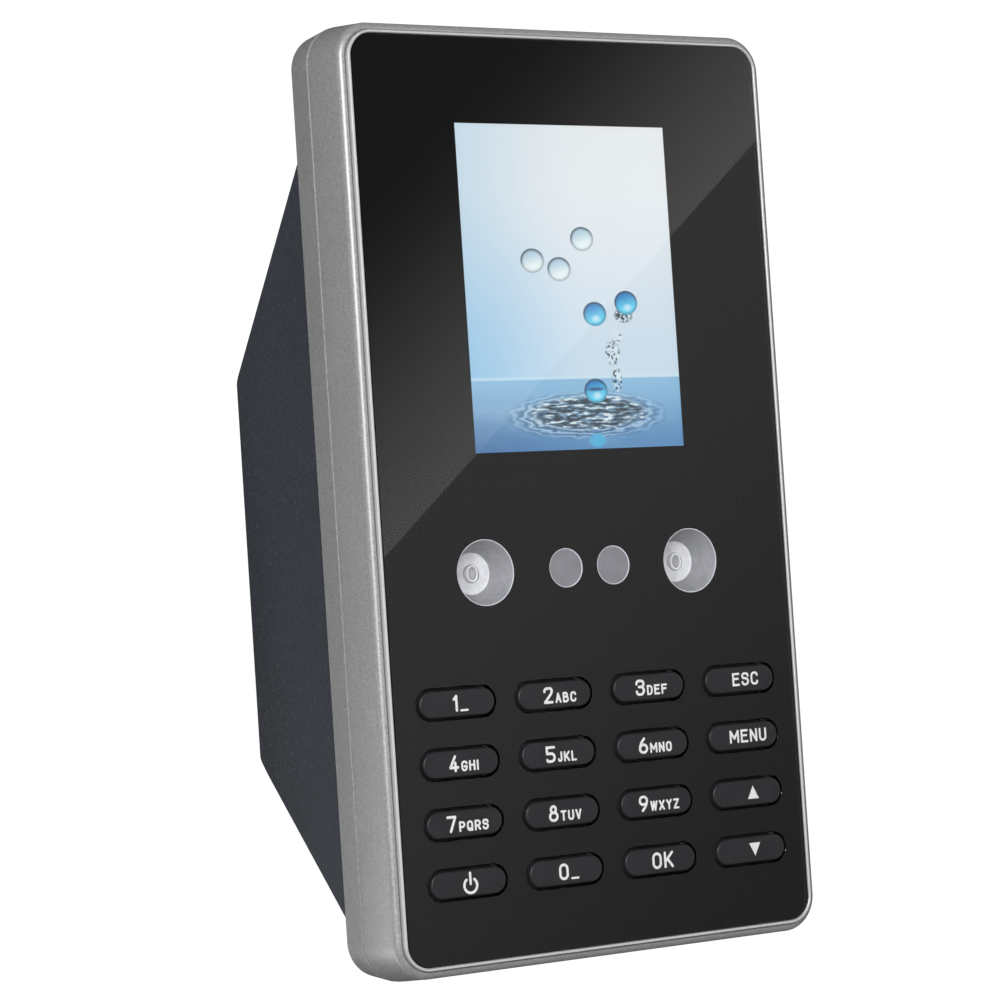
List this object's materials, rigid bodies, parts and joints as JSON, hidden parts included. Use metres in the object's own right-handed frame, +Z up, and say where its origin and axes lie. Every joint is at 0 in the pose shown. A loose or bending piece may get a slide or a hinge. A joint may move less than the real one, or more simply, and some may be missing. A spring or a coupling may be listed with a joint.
{
  "type": "wall-mounted access terminal",
  "caption": "Upright wall terminal with a colour display, two camera windows between two lamp windows, a pill-key keypad and a wedge-shaped back.",
  "frame": {"origin": "centre of the wall plate's back face, where it meets the wall", "axes": "+Y into the wall, +X to the right of a person who faces the terminal, +Z up"},
  "size_m": [0.0888, 0.0498, 0.1632],
  "materials": {
    "silver_paint": "satin metallic paint",
    "clear_acrylic": "glossy",
    "black_print": "satin",
    "black_foam": "matt",
    "black_rubber": "matt",
    "display_picture": "glossy",
    "bright_steel": "bright",
    "zinc_steel": "zinc plated",
    "flex_film": "glossy film",
    "white_reflector": "satin white",
    "lamp_lens": "clear grey",
    "grey_filter": "frosted",
    "black_plastic": "satin",
    "green_board": "solder mask",
    "grey_silicone": "matt",
    "gold_plate": "gold plated",
    "ivory_plastic": "satin",
    "blue_plastic": "satin",
    "capacitor_sleeve": "glossy",
    "speaker_black": "matt",
    "green_plastic": "satin",
    "dark_housing": "fine texture",
    "label_film": "satin film",
    "key_black": "satin"
  },
  "bodies": {
    "terminal": {"front_bezel": "silver_paint", "rear_frame": "silver_paint", "seal_ring": "black_rubber", "front_panel": "clear_acrylic", "panel_mask": "black_print", "display_gasket": "black_foam", "display_glass": "display_picture", "display_frame": "bright_steel", "display_bracket": "zinc_steel", "display_ribbon": "flex_film", "reflector_left": "white_reflector", "reflector_right": "white_reflector", "lamp_left": "lamp_lens", "lamp_right": "lamp_lens", "camera_window_left": "grey_filter", "camera_window_right": "grey_filter", "camera_left": "black_plastic", "camera_right": "black_plastic", "sensor_board": "green_board", "sensor_ribbon": "flex_film", "keypad_mat": "grey_silicone", "keypad_board": "green_board", "contact_pads": "gold_plate", "keypad_ribbon": "flex_film", "main_board": "green_board", "processor": "black_plastic", "memory_chips": "black_plastic", "ribbon_connectors": "ivory_plastic", "lock_relay": "blue_plastic", "cell_holder": "black_plastic", "backup_cell": "bright_steel", "capacitors": "capacitor_sleeve", "speaker": "speaker_black", "power_jack": "black_plastic", "usb_socket": "bright_steel", "network_socket": "bright_steel", "terminal_block": "green_plastic", "back_housing": "dark_housing", "housing_screws": "zinc_steel", "board_screws": "zinc_steel", "wall_plate": "zinc_steel", "lock_screw": "zinc_steel", "rating_label": "label_film"},
    "key_1_body": {"key_1": "key_black"},
    "key_2_body": {"key_2": "key_black"},
    "key_3_body": {"key_3": "key_black"},
    "key_esc_body": {"key_esc": "key_black"},
    "key_4_body": {"key_4": "key_black"},
    "key_5_body": {"key_5": "key_black"},
    "key_6_body": {"key_6": "key_black"},
    "key_menu_body": {"key_menu": "key_black"},
    "key_7_body": {"key_7": "key_black"},
    "key_8_body": {"key_8": "key_black"},
    "key_9_body": {"key_9": "key_black"},
    "key_up_body": {"key_up": "key_black"},
    "key_power_body": {"key_power": "key_black"},
    "key_0_body": {"key_0": "key_black"},
    "key_ok_body": {"key_ok": "key_black"},
    "key_down_body": {"key_down": "key_black"}
  },
  "joints": [
    {"name": "press_1", "type": "slide", "parent": "terminal", "child": "key_1_body", "axis": [0, 1, 0], "range_m": [0, 0.0008], "stiffness_N_per_m": 300, "springref_m": -0.0005},
    {"name": "press_2", "type": "slide", "parent": "terminal", "child": "key_2_body", "axis": [0, 1, 0], "range_m": [0, 0.0008], "stiffness_N_per_m": 300, "springref_m": -0.0005},
    {"name": "press_3", "type": "slide", "parent": "terminal", "child": "key_3_body", "axis": [0, 1, 0], "range_m": [0, 0.0008], "stiffness_N_per_m": 300, "springref_m": -0.0005},
    {"name": "press_esc", "type": "slide", "parent": "terminal", "child": "key_esc_body", "axis": [0, 1, 0], "range_m": [0, 0.0008], "stiffness_N_per_m": 300, "springref_m": -0.0005},
    {"name": "press_4", "type": "slide", "parent": "terminal", "child": "key_4_body", "axis": [0, 1, 0], "range_m": [0, 0.0008], "stiffness_N_per_m": 300, "springref_m": -0.0005},
    {"name": "press_5", "type": "slide", "parent": "terminal", "child": "key_5_body", "axis": [0, 1, 0], "range_m": [0, 0.0008], "stiffness_N_per_m": 300, "springref_m": -0.0005},
    {"name": "press_6", "type": "slide", "parent": "terminal", "child": "key_6_body", "axis": [0, 1, 0], "range_m": [0, 0.0008], "stiffness_N_per_m": 300, "springref_m": -0.0005},
    {"name": "press_menu", "type": "slide", "parent": "terminal", "child": "key_menu_body", "axis": [0, 1, 0], "range_m": [0, 0.0008], "stiffness_N_per_m": 300, "springref_m": -0.0005},
    {"name": "press_7", "type": "slide", "parent": "terminal", "child": "key_7_body", "axis": [0, 1, 0], "range_m": [0, 0.0008], "stiffness_N_per_m": 300, "springref_m": -0.0005},
    {"name": "press_8", "type": "slide", "parent": "terminal", "child": "key_8_body", "axis": [0, 1, 0], "range_m": [0, 0.0008], "stiffness_N_per_m": 300, "springref_m": -0.0005},
    {"name": "press_9", "type": "slide", "parent": "terminal", "child": "key_9_body", "axis": [0, 1, 0], "range_m": [0, 0.0008], "stiffness_N_per_m": 300, "springref_m": -0.0005},
    {"name": "press_up", "type": "slide", "parent": "terminal", "child": "key_up_body", "axis": [0, 1, 0], "range_m": [0, 0.0008], "stiffness_N_per_m": 300, "springref_m": -0.0005},
    {"name": "press_power", "type": "slide", "parent": "terminal", "child": "key_power_body", "axis": [0, 1, 0], "range_m": [0, 0.0008], "stiffness_N_per_m": 300, "springref_m": -0.0005},
    {"name": "press_0", "type": "slide", "parent": "terminal", "child": "key_0_body", "axis": [0, 1, 0], "range_m": [0, 0.0008], "stiffness_N_per_m": 300, "springref_m": -0.0005},
    {"name": "press_ok", "type": "slide", "parent": "terminal", "child": "key_ok_body", "axis": [0, 1, 0], "range_m": [0, 0.0008], "stiffness_N_per_m": 300, "springref_m": -0.0005},
    {"name": "press_down", "type": "slide", "parent": "terminal", "child": "key_down_body", "axis": [0, 1, 0], "range_m": [0, 0.0008], "stiffness_N_per_m": 300, "springref_m": -0.0005}
  ]
}
